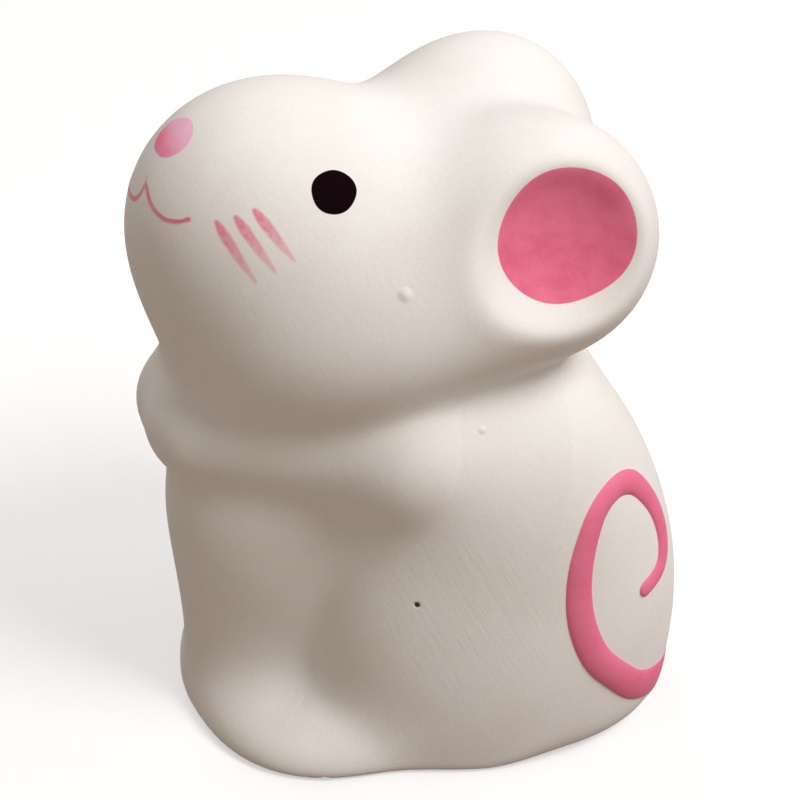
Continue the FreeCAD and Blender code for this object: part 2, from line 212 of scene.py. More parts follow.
def figure_gap(p):
    """Signed distance from the whole figure: head and trunk lobes joined, less the dish in each ear."""
    side = sided(p, bpy.context.scene.mouse_form.middle_softness)
    skull = join(HEAD.gap(p), MUZZLE.gap(p), SKULL_BLEND)
    skull = join(skull, EAR.gap(side), EAR_BLEND)
    trunk = join(TORSO.gap(p), BELLY.gap(p), TRUNK_BLEND)
    trunk = join(trunk, RUMP.gap(p), RUMP_BLEND)
    haunch_blend = HAUNCH_BLEND + HAUNCH_REAR_GROWTH * smooth_step(p[..., 1] / (HAUNCH_RUN * MM))
    trunk = join(trunk, HAUNCH.gap(side), haunch_blend)
    trunk = join(trunk, limb_gap(side, SHOULDER, ELBOW, SHOULDER_RADIUS, ELBOW_RADIUS), SHOULDER_BLEND)
    trunk = join(trunk, limb_gap(side, ELBOW, HAND, ELBOW_RADIUS, HAND_RADIUS), ARM_BLEND)
    trunk = join(trunk, FOOT.gap(side), FOOT_BLEND)
    dish = DISH_RADIUS * MM - np.linalg.norm(side - DISH_CENTRE, axis=-1)
    return trim(join(skull, trunk, NECK_BLEND), dish, DISH_BLEND)


def body_gap(p):
    """The figure cut off at the ground, with an edge that is rounder at the rear, less the slab's seat."""
    ground = p.copy()
    ground[..., 2] = 0
    seat = np.maximum(figure_gap(ground) + SLAB_INSET * MM, p[..., 2] - SLAB_TOP * MM)
    rounding = BASE_ROUND + (REAR_ROUND - BASE_ROUND) * smooth_step(p[..., 1] / (ROUND_RUN * MM))
    return np.maximum(trim(figure_gap(p), -p[..., 2], rounding), -seat)


def slope(gap, p):
    """Unit outward direction, from central differences of the signed distance."""
    parts = [gap(p + SLOPE_STEP * e) - gap(p - SLOPE_STEP * e) for e in np.eye(3)]
    n = np.stack(parts, -1)
    return n / np.maximum(np.linalg.norm(n, axis=-1, keepdims=True), 1e-12)


def strike(gap, start, ray, high):
    """Points where rays cross the surface: the bracket is halved, then closed with a chord step."""
    low = np.zeros(ray.shape[:-1])
    high = np.full(ray.shape[:-1], high)
    for _ in range(HALVINGS):
        middle = (low + high) / 2
        inside = gap(start + ray * middle[..., None]) < 0
        low = np.where(inside, middle, low)
        high = np.where(inside, high, middle)
    at_low = gap(start + ray * low[..., None])
    at_high = gap(start + ray * high[..., None])
    length = low - at_low * (high - low) / np.where(at_high - at_low > 1e-12, at_high - at_low, 1e-12)
    return start + ray * np.clip(length, low, high)[..., None]


# Mesh helpers

def grid_quads(rows, columns, first=0):
    """Quads of a grid whose vertices are numbered row by row."""
    i = np.arange(rows - 1)[:, None] * columns + np.arange(columns - 1)[None, :] + first
    return np.stack([i, i + 1, i + columns + 1, i + columns], -1).reshape(-1, 4)


def make_piece(name, points, faces, material, replaces, normals=None, layers=()):
    """A finished object from whole arrays, attached to the body, with the CAD nodes that it replaces hidden.
    """
    mesh = bpy.data.meshes.new(name)
    mesh.from_pydata(points.reshape(-1, 3).tolist(), [], [list(f) for f in faces])
    mesh.polygons.foreach_set("use_smooth", np.ones(len(mesh.polygons), bool))
    for label, values in layers:
        layer = mesh.attributes.new(label, "FLOAT", "POINT")
        layer.data.foreach_set("value", values.astype(np.float32).ravel())
    mesh.validate()
    if normals is not None:
        mesh.normals_split_custom_set_from_vertices(normals.reshape(-1, 3).tolist())
    piece = bpy.data.objects.new(name, mesh)
    bpy.context.scene.collection.objects.link(piece)
    mesh.materials.append(material)
    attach(piece, BODY)
    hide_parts(*replaces)


def closed_sheet(top, bottom):
    """Points and faces of a thin solid between two grids of one layout."""
    rows, columns = top.shape[:2]
    count = rows * columns
    upper = grid_quads(rows, columns)
    lower = grid_quads(rows, columns, count)[:, ::-1]
    index = np.arange(count).reshape(rows, columns)
    rim = np.concatenate([index[0, :-1], index[:-1, -1], index[-1, :0:-1], index[:0:-1, 0]])
    after = np.roll(rim, -1)
    wall = np.stack([rim, rim + count, after + count, after], -1)
    points = np.concatenate([top.reshape(-1, 3), bottom.reshape(-1, 3)])
    faces = np.concatenate([upper, lower, wall])
    return points, outward_faces(points, faces, upper)


def sheet_layers(cover, along, side):
    """Attributes of a closed sheet, from grids of its top: the bottom has the same values."""
    return [(label, np.concatenate([v.ravel(), v.ravel()]))
            for label, v in (("cover", cover), ("along", along), ("side", side))]


def outward_faces(points, faces, sample):
    """Turns every face round if the sampled ones look into the figure."""
    a, b, c = (points[sample[:, k]] for k in (0, 1, 2))
    facing_out = np.einsum("ij,ij->i", np.cross(b - a, c - a), slope(figure_gap, a))
    return faces if facing_out.mean() > 0 else faces[:, ::-1]


def mirrored(points, faces):
    """The same mesh on the other side of the middle plane, with its faces turned back outward."""
    return points * MIRROR, [tuple(reversed(f)) for f in faces]


def smooth_step(x):
    """Smooth rise from 0 to 1 as x does."""
    x = np.clip(x, 0, 1)
    return x * x * (3 - 2 * x)


# Moulded halves

def half_rays(count):
    """Rays of a half cube blown up to a half ball: one whole face toward +X and half of each side face."""
    whole = np.tan(np.linspace(-math.pi / 4, math.pi / 4, count + 1))
    half = np.tan(np.linspace(0, math.pi / 4, count // 2 + 1))
    grids = []
    a, b = np.meshgrid(whole, whole, indexing="ij")
    grids.append(np.stack([np.ones_like(a), a, b], -1))
    a, b = np.meshgrid(half, whole, indexing="ij")
    for sign in (-1, 1):
        grids.append(np.stack([a, sign * np.ones_like(a), b], -1))
        grids.append(np.stack([a, b, sign * np.ones_like(a)], -1))
    return [g / np.linalg.norm(g, axis=-1, keepdims=True) for g in grids]


# Starts of the rays: steepness of the climb, share of the way up to the head for level rays, pull of the ear

CLIMB, MIDDLE_SHARE = 2.0, 0.55
EAR_PULL, EAR_PULL_SPREAD, EAR_PULL_RUN = 0.5, 0.28, 0.35


def ray_start(ray):
    """Start of a ray: it climbs from the belly to the head, and leans toward the ear on the ear's side."""
    low, high = BELLY.centre, HEAD.centre
    climb = np.tanh(CLIMB * ray[..., 2])
    middle_z = TORSO.centre[2] + MIDDLE_SHARE * (high[2] - TORSO.centre[2])
    middle_y = TORSO.centre[1] / 2
    z = middle_z + climb * (high[2] - low[2]) / 2 + climb ** 2 * ((high[2] + low[2]) / 2 - middle_z)
    y = middle_y + climb * high[1] / 2 + climb ** 2 * (high[1] / 2 - middle_y)
    start = np.stack([0 * z, y, z], -1)
    toward = unit(EAR.centre - np.array([0, high[1], high[2]]))
    pull = EAR_PULL * np.exp((ray @ toward - 1) / EAR_PULL_SPREAD) * smooth_step(ray[..., 0] / EAR_PULL_RUN)
    return start + pull[..., None] * (EAR.centre - start)


def half_mesh(count):
    """Left half: a point is the ray's start plus the ray times the length at which the distance is zero."""
    points, faces, keys = [], [], []
    first = 0
    for rays in half_rays(count):
        start = ray_start(rays)
        p = strike(body_gap, start, rays, FIGURE_REACH)
        quads = grid_quads(*rays.shape[:2], first)
        a, b, c = (rays.reshape(-1, 3)[quads[:, k] - first] for k in (0, 1, 2))
        if np.einsum("ij,ij->i", np.cross(b - a, c - a), a).mean() < 0:
            quads = quads[:, ::-1]
        points.append(p.reshape(-1, 3))
        keys.append(rays.reshape(-1, 3))
        faces.append(quads)
        first += p.shape[0] * p.shape[1]
    points, keys, faces = np.concatenate(points), np.concatenate(keys), np.concatenate(faces)
    _, keep, place = np.unique(np.round(keys, 7), axis=0, return_index=True, return_inverse=True)
    points, keys, faces = points[keep], keys[keep], place.reshape(-1)[faces]
    on_seam = np.flatnonzero(np.abs(keys[:, 0]) < 1e-7)
    points[on_seam, 0] = 0
    order = on_seam[np.argsort(np.arctan2(keys[on_seam, 2], keys[on_seam, 1]))]
    return points, faces, order


class MOUSE_OT_body(bpy.types.Operator):
    """Adds the two moulded halves of the body"""
    bl_idname = "clay_mouse.body"
    bl_label = "Body Halves"

    def execute(self, context):
        points, faces, seam = half_mesh(BODY_GRID)
        normals = slope(body_gap, points)
        normals[seam, 0] = 0
        faces = [tuple(f) for f in faces]
        faces.append(tuple(seam[::-1]))
        coat = coat_material("white_coat")
        make_piece("body_left_skin", points, faces, coat, ["body_left_half"], normals)
        flipped, turned = mirrored(points, faces)
        make_piece("body_right_skin", flipped, turned, coat, ["body_right_half"],
                   normals * MIRROR)
        return {"FINISHED"}


# Paint films

class Place:
    """A spot on the figure with its own across, out and up directions."""

    def __init__(self, point, out):
        self.point = point
        self.across, self.out, self.up = triad(out)

    def sheet(self, across, up):
        """Points of the surface straight under a grid drawn in the place's plane."""
        flat = self.point + across[..., None] * self.across + up[..., None] * self.up
        ray = np.broadcast_to(self.out, flat.shape)
        return strike(figure_gap, flat - SHEET_START * self.out, ray, SHEET_REACH)


def side_place(y, z):
    """Place on the left side, seen square from the side."""
    start = np.array([[0, y, z]]) * MM
    point = strike(figure_gap, start, np.array([[1.0, 0, 0]]), FAR)
    return Place(point[0], slope(figure_gap, point)[0])


def front_place(y, z):
    """Place on the middle line of the face."""
    start = HEAD.centre[None, :]
    ray = unit(np.array([[0, y, z]]) * MM - start)
    point = strike(figure_gap, start, ray, FAR)
    return Place(point[0], slope(figure_gap, point)[0])


# Films: the bare strip round them, the cover at full height, depths under the coat, search for the surface

FILM_MARGIN = 0.5
FILM_FULL = 0.4
FILM_SINK, FILM_DEPTH = 0.03 * MM, 0.3 * MM
SHEET_START, SHEET_REACH = 5 * MM, 9 * MM


def film(place, half_across, half_up, cover, step):
    """Thin solid over the coat. It stands proud by the paint's lift where the cover is full and dips under
    the coat where the cover is nothing. It is shaded with the coat's own normals, so its edge throws no rim.
    Cover is a function of the place's own across and up."""
    across, up = (np.linspace(-half, half, int(2 * half / step) + 1) * MM
                  for half in (half_across + FILM_MARGIN, half_up + FILM_MARGIN))
    across, up = np.meshgrid(across, up, indexing="ij")
    skin = place.sheet(across, up)
    normal = slope(figure_gap, skin)
    amount, along, side = cover(across / MM, up / MM)
    lift = bpy.context.scene.mouse_form.paint_lift
    top = skin + normal * ((lift + FILM_SINK) * smooth_step(amount / FILM_FULL) - FILM_SINK)[..., None]
    bottom = skin - normal * FILM_DEPTH
    points, faces = closed_sheet(top, bottom)
    layers = sheet_layers(amount, along, side)
    return points, faces, layers, np.concatenate([normal.reshape(-1, 3), -normal.reshape(-1, 3)])


# Waves of a hand-drawn edge: how many go round, their share of the height, and their share of the seed

WAVES = ((2, 1.0, 1.0), (3, 0.6, 2.1), (5, 0.4, 3.3))


def wobble(angle, size, seed):
    """Uneven hand-drawn edge: three waves round the outline with fixed phases."""
    return size * sum(share * np.sin(count * angle + phase * seed) for count, share, phase in WAVES)


def round_cover(half_across, half_up, feather, uneven, seed, lean=0.0):
    """Cover of an oval dab: full inside, falling to nothing over the feather at its edge. Lean turns it."""
    turn = math.radians(lean)

    def cover(x, y):
        across, up = x * math.cos(turn) + y * math.sin(turn), y * math.cos(turn) - x * math.sin(turn)
        angle = np.arctan2(up, across)
        size = np.sqrt(half_across * half_up)
        far = np.hypot(across / half_across, up / half_up) * size
        edge = size + wobble(angle, uneven, seed) - far
        return smooth_step(edge / feather + 0.5), x, y
    return cover


def stroke_cover(strokes, feather):
    """Cover of brush strokes: for each, the nearest distance to its route, less half the width there. The
    stroke with the fullest cover is kept. Along runs from 0 at a stroke's start to 1 at its end."""
    def one(route, widths, across, up):
        route, widths = np.array(route, float), np.array(widths, float)
        starts, runs = route[:-1], route[1:] - route[:-1]
        sizes = np.linalg.norm(runs, axis=-1)
        before = np.concatenate([[0], np.cumsum(sizes)])
        q = np.stack([across, up], -1)[..., None, :] - starts
        share = np.clip((q * runs).sum(-1) / sizes ** 2, 0, 1)
        off = q - share[..., None] * runs
        edge = (widths[:-1] + share * (widths[1:] - widths[:-1])) / 2 - np.linalg.norm(off, axis=-1)
        best = edge.argmax(-1)

        def pick(v):
            return np.take_along_axis(v, best[..., None], -1)[..., 0]

        side = (runs[best, 0] * pick(off[..., 1]) - runs[best, 1] * pick(off[..., 0])) / sizes[best]
        along = (before[best] + pick(share) * sizes[best]) / before[-1]
        return smooth_step(pick(edge) / feather + 0.5), along, side

    def cover(across, up):
        found = [one(route, widths, across, up) for route, widths in strokes]
        full = np.stack([f[0] for f in found]).argmax(0)[None]
        return tuple(np.take_along_axis(np.stack(layer), full, 0)[0] for layer in zip(*found))
    return cover


def add_film(name, place, half_across, half_up, cover, step, material, mirror=False, number=""):
    """A film on the left or the middle, and its mirror image where there is one."""
    points, faces, layers, normals = film(place, half_across, half_up, cover, step)
    node = name + "_left" + number if mirror else name
    make_piece(node + "_paint", points, faces, material, [node], normals, layers)
    if mirror:
        flipped, turned = mirrored(points, faces)
        node = name + "_right" + number
        make_piece(node + "_paint", flipped, turned, material, [node], normals * MIRROR, layers)


# Paint: places as y and z on the figure, sizes, routes and grid steps in millimetres, and shares of colour

EAR_PAINT_RADIUS, EAR_PAINT_BACK, EAR_PAINT_RISE = 6.1, 0.5, 1.0
EAR_STEP, EYE_STEP, NOSE_STEP, MOUTH_STEP, WHISKER_GRID = 0.1, 0.05, 0.06, 0.06, 0.07
# Shares of colour left where the brush laid the paint thickly and, toward a dab's lower edge, where painted
# shade darkens it.
EAR_DEEP_AND_SHADE, NOSE_DEEP_AND_SHADE = (0.86, 0.66, 0.7), (0.97, 0.45, 0.5)
EYE_PLACE, EYE_HALF_WIDTH, EYE_HALF_HEIGHT = (-12.6, 59.7), 1.95, 1.95
NOSE_PLACE, NOSE_HALF_WIDTH, NOSE_HALF_HEIGHT = (-24.4, 61.2), 2.7, 2.05
NOSE_LEAN = 16.0
MOUTH_PLACE, MOUTH_HALF_WIDTH, MOUTH_HALF_HEIGHT = (-27.4, 57.6), 7.8, 2.7
MOUTH_ROUTE = ((-4.8, -1.9), (-2.6, -2.35), (-0.7, -2.2), (0.55, -1.9), (1.15, -1.5), (1.5, -0.8),
               (1.65, 0.05), (2.6, -0.2), (3.4, -0.55), (4.2, -0.72), (5.0, -0.74), (5.8, -0.62),
               (6.45, -0.33), (7.1, 0.16), (7.6, 0.8))
MOUTH_STOPS, MOUTH_WIDTHS = (0, 0.3, 0.9, 0.96, 1), (0.4, 0.5, 0.36, 0.3, 0.42)
MOUTH_PARTING, MOUTH_PARTING_WIDTHS = ((0.74, 0.75), (1.3, 0.5), (1.65, 0.1)), (0.08, 0.16, 0.34)
MOUTH_SAMPLES = 60
WHISKER_PLACE, WHISKER_STEP = (-19.7, 56.1), (1.6, 0.8)
WHISKER_LENGTH, WHISKER_SHORTENING, WHISKER_WIDTH, WHISKER_SLANT = 5.7, 0.06, 0.95, -50.0
WHISKER_STOPS, WHISKER_SHARES = (-0.5, -0.4, -0.25, 0.0, 0.3, 0.5), (0.45, 0.8, 1.0, 0.9, 0.55, 0.25)
WHISKER_SAMPLES = 21


class MOUSE_OT_ears(bpy.types.Operator):
    """Adds the pink paint in the ear dishes"""
    bl_idname = "clay_mouse.ears"
    bl_label = "Ear Paint"

    def execute(self, context):
        place = Place(DISH_CENTRE - DISH_OUT * DISH_RADIUS * MM, DISH_OUT)
        place.point = place.point + (place.across * EAR_PAINT_BACK + place.up * EAR_PAINT_RISE) * MM
        cover = round_cover(EAR_PAINT_RADIUS, EAR_PAINT_RADIUS, feather=0.25, uneven=0.12, seed=1.3)
        pink = paint_material("ear_pink_paint", context.scene.mouse_paint.pink, deep_and_shade=EAR_DEEP_AND_SHADE)
        add_film("ear_lining", place, EAR_PAINT_RADIUS, EAR_PAINT_RADIUS, cover, EAR_STEP, pink,
                 mirror=True)
        return {"FINISHED"}


class MOUSE_OT_eyes(bpy.types.Operator):
    """Adds the two dark eyes"""
    bl_idname = "clay_mouse.eyes"
    bl_label = "Eyes"

    def execute(self, context):
        cover = round_cover(EYE_HALF_WIDTH, EYE_HALF_HEIGHT, feather=0.14, uneven=0.05, seed=0.4)
        dark = paint_material("eye_paint", context.scene.mouse_paint.eye, rough=0.85, shine=0.04)
        add_film("eye", side_place(*EYE_PLACE), EYE_HALF_WIDTH, EYE_HALF_HEIGHT, cover, EYE_STEP, dark,
                 mirror=True)
        return {"FINISHED"}


class MOUSE_OT_nose(bpy.types.Operator):
    """Adds the pink nose"""
    bl_idname = "clay_mouse.nose"
    bl_label = "Nose"

    def execute(self, context):
        cover = round_cover(NOSE_HALF_WIDTH, NOSE_HALF_HEIGHT, feather=0.16, uneven=0.05, seed=2.2,
                            lean=NOSE_LEAN)
        pink = paint_material("nose_paint", context.scene.mouse_paint.nose_pink, deep_and_shade=NOSE_DEEP_AND_SHADE, brush=0.2)
        add_film("nose", front_place(*NOSE_PLACE), NOSE_HALF_WIDTH, NOSE_HALF_HEIGHT, cover, NOSE_STEP, pink)
        return {"FINISHED"}


class MOUSE_OT_mouth(bpy.types.Operator):
    """Adds the thin line of the mouth"""
    bl_idname = "clay_mouse.mouth"
    bl_label = "Mouth"

    def execute(self, context):
        widths = np.interp(np.linspace(0, 1, MOUTH_SAMPLES), MOUTH_STOPS, MOUTH_WIDTHS)
        strokes = [(through(MOUTH_ROUTE, MOUTH_SAMPLES), widths), (MOUTH_PARTING, MOUTH_PARTING_WIDTHS)]
        add_film("mouth", front_place(*MOUTH_PLACE), MOUTH_HALF_WIDTH, MOUTH_HALF_HEIGHT,
                 stroke_cover(strokes, feather=0.24), MOUTH_STEP,
                 line_material("mouth_paint", context.scene.mouse_paint.line_pink, start=0.48, fade=-0.3))
        return {"FINISHED"}


class MOUSE_OT_whiskers(bpy.types.Operator):
    """Adds three whisker strokes on each cheek"""
    bl_idname = "clay_mouse.whiskers"
    bl_label = "Whiskers"

    def execute(self, context):
        material = line_material("whisker_paint", context.scene.mouse_paint.line_pink, start=0.72, fade=0.45)
        slant = math.radians(WHISKER_SLANT)
        for number in (1, 2, 3):
            step = number - 2
            place = side_place(*(spot + step * shift for spot, shift in zip(WHISKER_PLACE, WHISKER_STEP)))
            length = WHISKER_LENGTH * (1 - WHISKER_SHORTENING * step)
            share = np.linspace(-0.5, 0.5, WHISKER_SAMPLES)
            route = length * share[:, None] * np.array([math.cos(slant), math.sin(slant)])
            widths = WHISKER_WIDTH * np.interp(share, WHISKER_STOPS, WHISKER_SHARES)
            cover = stroke_cover([(route, widths)], feather=0.5)
            add_film("whisker", place, length / 2, length / 2, cover, WHISKER_GRID, material,
                     mirror=True, number=f"_{number}")
        return {"FINISHED"}


# Tail: its loop in degrees round the figure and in height, its route in shares of the loop, its widths

TAIL_LOOP_TURN, TAIL_LOOP_HALF_TURN = 129.5, 14.5
TAIL_LOOP_Z, TAIL_LOOP_RISE = 19.0, 10.2
TAIL_ROUTE_SHARES = ((3.10, -1.50), (2.25, -1.50), (1.40, -1.46), (0.68, -1.35), (0.25, -1.23),
                     (-0.13, -1.03), (-0.69, -0.65), (-1.00, -0.15), (-1.00, 0.39), (-0.69, 0.84),
                     (-0.17, 1.01), (0.38, 0.94), (0.83, 0.61), (0.97, 0.25), (0.79, -0.04), (0.22, -0.18))
TAIL_STOPS, TAIL_WIDTHS = (0, 0.12, 0.3, 0.6, 1), (4.8, 4.3, 3.1, 2.7, 1.8)
TAIL_ROOT_RISE, TAIL_SWELL_START, TAIL_SWELL_RUN, TAIL_THINNING = 0.1, 0.12, 0.25, 0.6
TAIL_ROWS, TAIL_COLUMNS = 520, 61
TAIL_MARGIN, TAIL_DEPTH, TAIL_FEATHER = 0.35 * MM, 0.4 * MM, 0.3 * MM
TAIL_EDGE_STEP, TAIL_SINK = 0.10 * MM, 0.05 * MM
TAIL_LEAST_END, TAIL_CROWN_POWER, TAIL_COVER_SHIFT = 0.02, 0.75, 0.4


def through(points, count):
    """Smooth line through points: Catmull-Rom cubics, sampled evenly by number."""
    p = np.array(points, float)
    p = np.concatenate([[2 * p[0] - p[1]], p, [2 * p[-1] - p[-2]]])
    where = np.linspace(0, len(p) - 3 - 1e-9, count)
    k, u = where.astype(int), (where % 1)[:, None]
    a, b, c, d = p[k], p[k + 1], p[k + 2], p[k + 3]
    square, cube = 2 * a - 5 * b + 4 * c - d, 3 * b - a - 3 * c + d
    return 0.5 * (2 * b + (c - a) * u + square * u ** 2 + cube * u ** 3)


def settle(p):
    """Points moved onto the figure along its own slope."""
    for _ in range(SETTLINGS):
        p = p - slope(figure_gap, p) * figure_gap(p)[..., None]
    return p


class MOUSE_OT_tail(bpy.types.Operator):
    """Adds the raised pink tail"""
    bl_idname = "clay_mouse.tail"
    bl_label = "Tail"

    def execute(self, context):
        shares = through(TAIL_ROUTE_SHARES, TAIL_ROWS)
        turn = np.radians(TAIL_LOOP_TURN + TAIL_LOOP_HALF_TURN * shares[:, 0])
        start = np.stack([0 * turn, 0 * turn, (TAIL_LOOP_Z + TAIL_LOOP_RISE * shares[:, 1]) * MM], -1)
        ray = np.stack([np.sin(turn), -np.cos(turn), 0 * turn], -1)
        route = strike(figure_gap, start, ray, FAR)
        run = np.gradient(route, axis=0)
        size = np.linalg.norm(run, axis=-1)
        far = np.cumsum(size) - size[0]
        normal = slope(figure_gap, route)
        side = np.cross(normal, run / size[:, None])
        share = far / far[-1]
        half = np.interp(share, TAIL_STOPS, TAIL_WIDTHS) / 2 * MM
        ends = np.minimum(far, far[-1] - far) / half
        ends = np.sqrt(np.clip(1 - (1 - np.clip(ends, 0, 1)) ** 2, 0, 1))
        reach = half * np.maximum(ends, TAIL_LEAST_END) + TAIL_MARGIN
        off = np.linspace(-1, 1, TAIL_COLUMNS)[None, :] * reach[:, None]
        skin = settle(route[:, None, :] + side[:, None, :] * off[..., None])
        up = slope(figure_gap, skin)
        edge = (half * ends)[:, None] - np.abs(off)
        crown = np.clip(1 - (off / np.maximum(half * ends, 1e-6)[:, None]) ** 2, 0, 1)
        grown = smooth_step((share - TAIL_SWELL_START) / TAIL_SWELL_RUN)
        swell = TAIL_ROOT_RISE + (1 - TAIL_ROOT_RISE) * grown
        rise = context.scene.mouse_form.tail_rise * (1 - TAIL_THINNING * share) * swell
        rise = (rise * ends)[:, None]
        edge_lift = TAIL_EDGE_STEP * smooth_step((edge + TAIL_MARGIN) / (2 * TAIL_MARGIN)) - TAIL_SINK
        top = skin + up * (rise * crown ** TAIL_CROWN_POWER + edge_lift)[..., None]
        bottom = skin - up * TAIL_DEPTH
        points, faces = closed_sheet(top, bottom)
        cover = smooth_step(edge / TAIL_FEATHER + TAIL_COVER_SHIFT)
        along = np.broadcast_to(far[:, None] / MM, cover.shape)
        layers = sheet_layers(cover, along, off / MM)
        make_piece("tail_relief", points, faces, paint_material("tail_paint", context.scene.mouse_paint.pink),
                   ["tail"], layers=layers)
        return {"FINISHED"}


class MOUSE_OT_slab(bpy.types.Operator):
    """Gives the closing slab its clay finish"""
    bl_idname = "clay_mouse.slab"
    bl_label = "Closing Slab"

    def execute(self, context):
        node = frame["nodes"]["base_plate"]
        node.data.materials.clear()
        node.data.materials.append(coat_material("slab_coat"))
        return {"FINISHED"}


# Materials

# Sockets of a Mix node that are set for colours: share, low and high go in, and the colour comes out

MIX_SHARE, MIX_LOW, MIX_HIGH, MIX_COLOUR = 0, 6, 7, 2


class Flow:
    """One number in a material. Arithmetic on it adds Math nodes."""

    def __init__(self, shop, socket):
        self.shop, self.socket = shop, socket

    def math(self, operation, *others):
        return self.shop.add("ShaderNodeMath", {"operation": operation}, dict(enumerate([self, *others])))

    def __add__(self, other):
        return self.math("ADD", other)

    def __sub__(self, other):
        return self.math("SUBTRACT", other)

    def __mul__(self, other):
        return self.math("MULTIPLY", other)

    def __truediv__(self, other):
        return self.math("DIVIDE", other)

    def __radd__(self, other):
        return self.math("ADD", other)

    def __rmul__(self, other):
        return self.math("MULTIPLY", other)

    def __rsub__(self, other):
        return self.shop.add("ShaderNodeMath", {"operation": "SUBTRACT"}, {0: other, 1: self})

    def clamp(self, low=0.0, high=1.0):
        return self.math("MAXIMUM", low).math("MINIMUM", high)

    def step(self, low, high):
        """Smooth rise from 0 to 1 between two levels."""
        return self.shop.add("ShaderNodeMapRange", {"interpolation_type": "SMOOTHSTEP"},
                             {"Value": self, "From Min": low, "From Max": high})


class Shop:
    """Node maker for one material."""

    def __init__(self, name):
        self.material = bpy.data.materials.new(name)
        self.material.use_nodes = True
        self.tree = self.material.node_tree
        self.shader = next(n for n in self.tree.nodes if n.type == "BSDF_PRINCIPLED")

    def add(self, kind, settings, sockets, output=0):
        """A node with its settings made first, then its sockets, as the flow of one output."""
        node = self.tree.nodes.new(kind)
        for key, value in settings.items():
            setattr(node, key, value)
        for key, value in sockets.items():
            self.put(node.inputs[key], value)
        return Flow(self, node.outputs[output])

    def put(self, socket, value):
        if isinstance(value, Flow):
            self.tree.links.new(value.socket, socket)
        else:
            socket.default_value = value

    def place(self, turn=(0, 0, 0), stretch=(1, 1, 1)):
        """Object coordinates in millimetres, turned and stretched."""
        spot = self.add("ShaderNodeTexCoord", {}, {}, "Object")
        turned = self.add("ShaderNodeMapping", {"vector_type": "POINT"},
                          {"Vector": spot, "Rotation": [math.radians(a) for a in turn]})
        return self.add("ShaderNodeMapping", {"vector_type": "POINT"},
                        {"Vector": turned, "Scale": [s / MM for s in stretch]})

    def noise(self, where, scale, detail, rough):
        return self.add("ShaderNodeTexNoise", {}, {"Vector": where, "Scale": scale, "Detail": detail,
                                                   "Roughness": rough}, "Fac")

    def near(self, spot, reach):
        """1 at the figure's surface under a spot in millimetres, falling to 0 at a reach from it."""
        where = self.add("ShaderNodeTexCoord", {}, {}, "Object")
        centre = settle(np.array([spot]) * MM)[0].tolist()
        far = self.add("ShaderNodeVectorMath", {"operation": "DISTANCE"}, {0: where, 1: centre}, "Value")
        return (1 - far / (reach * MM)).step(0.0, 1.0)

    def layer(self, name):
        return self.add("ShaderNodeAttribute", {"attribute_name": name}, {}, "Fac")

    def mix(self, share, low, high):
        """Colour between two colours."""
        low, high = (v if isinstance(v, Flow) else (*v, 1.0) for v in (low, high))
        return self.add("ShaderNodeMix", {"data_type": "RGBA"},
                        {MIX_SHARE: share, MIX_LOW: low, MIX_HIGH: high}, MIX_COLOUR)

    def finish(self, colour, rough, height, reach, shine=0.25):
        """Colour, roughness and a bump of the given height in metres on the shader."""
        self.put(self.shader.inputs["Base Color"], colour)
        self.put(self.shader.inputs["Roughness"], rough)
        self.put(self.shader.inputs["Specular IOR Level"], shine)
        bump = self.add("ShaderNodeBump", {}, {"Height": height, "Distance": reach, "Strength": 1.0})
        self.put(self.shader.inputs["Normal"], bump)
        return self.material


# The coat: spots and reaches in millimetres, heights in grain heights, and shares of the warmer tint: a
# random mottle, and painted shade in the low points of the grain

PINHOLE, BLISTER, CHIP = (16.9, -6.1, 20.0), (16.2, -7.8, 52.3), (16.5, -0.2, 37.7)
PINHOLE_REACH, BLISTER_REACH, CHIP_REACH = 0.42, 0.8, 0.5
PINHOLE_DEPTH, BLISTER_HEIGHT, CHIP_HEIGHT = 6.0, 3.5, 3.0
HAUNCH_STREAKS, STREAKS_REACH = (17.0, -1.0, 20.0), 13.0
GRAIN_HEIGHT, STREAKS_HEIGHT, HAUNCH_STREAKS_HEIGHT, PITS_HEIGHT = 0.35, 0.25, 0.6, 0.12
MOTTLE_TINT, GRAIN_HOLLOW_SHADE = 0.35, 0.18
# Colour of the pinhole: brown clay under the coat, darkened as painted shade of the hole's inside.
PINHOLE_CLAY_AND_SHADE = (0.06, 0.035, 0.015)
COAT_ROUGHNESS, LINE_ROUGHNESS = 0.78, 0.72

# Thin paint: how fine its mottle is along a stroke and across it, how strong it is, and the fullest density

LINE_BRISTLES, LINE_MOTTLE, LINE_FULL = (9.0, 2.6), 0.22, 0.95


